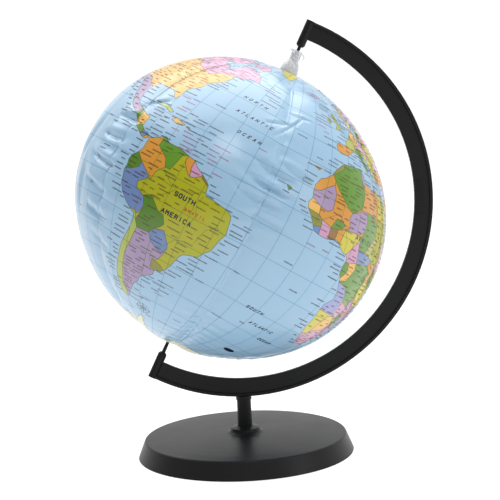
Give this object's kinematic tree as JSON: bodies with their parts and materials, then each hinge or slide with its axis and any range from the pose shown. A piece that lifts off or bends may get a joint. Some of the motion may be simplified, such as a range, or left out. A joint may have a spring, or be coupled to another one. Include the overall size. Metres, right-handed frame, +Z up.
{
  "type": "inflatable desk globe",
  "caption": "Inflated vinyl world globe that turns on two pins in a leaning half-ring arm, on a short post and a round hollow base.",
  "frame": {"origin": "centre of the round base, on the surface it rests on", "axes": "+Z up; the half-ring arm lies in the XZ plane with its curve on the +X side, and the ball's north pole leans towards +X; -Y is the front"},
  "size_m": [0.286, 0.248, 0.3421],
  "materials": {
    "base_plastic": "satin black moulding",
    "arm_plastic": "satin black moulding",
    "pin_plastic": "satin black moulding",
    "zinc_steel": "zinc-plated",
    "printed_vinyl": "glossy soft film printed with a map",
    "polar_vinyl": "glossy soft film",
    "clear_vinyl": "clear soft vinyl"
  },
  "bodies": {
    "stand": {"base_dish": "base_plastic", "washer": "zinc_steel", "base_screw": "zinc_steel", "support_post": "arm_plastic", "meridian_arm": "arm_plastic", "north_pin": "pin_plastic", "south_pin": "pin_plastic"},
    "ball": {"panel_1": "printed_vinyl", "panel_2": "printed_vinyl", "panel_3": "printed_vinyl", "panel_4": "printed_vinyl", "panel_5": "printed_vinyl", "panel_6": "printed_vinyl", "north_disc": "polar_vinyl", "south_disc": "polar_vinyl", "south_socket": "clear_vinyl", "valve_body": "clear_vinyl", "valve_strap": "clear_vinyl"},
    "plug": {"valve_plug": "clear_vinyl"},
    "flap": {"valve_flap": "clear_vinyl"}
  },
  "joints": [
    {"name": "ball_spin", "type": "hinge", "parent": "stand", "child": "ball", "pos_m": [-0.00479, 0, 0.19847], "axis": [0.454, 0, 0.891], "continuous": true},
    {"name": "plug_lift", "type": "slide", "parent": "ball", "child": "plug", "axis": [0.454, 0, 0.891], "range_m": [0, 0.0025]},
    {"name": "flap_swing", "type": "hinge", "parent": "ball", "child": "flap", "pos_m": [0.05222, 0, 0.30286], "axis": [0, -1, 0], "range_deg": [0, 40], "stiffness_Nm_per_rad": 0.00002}
  ]
}
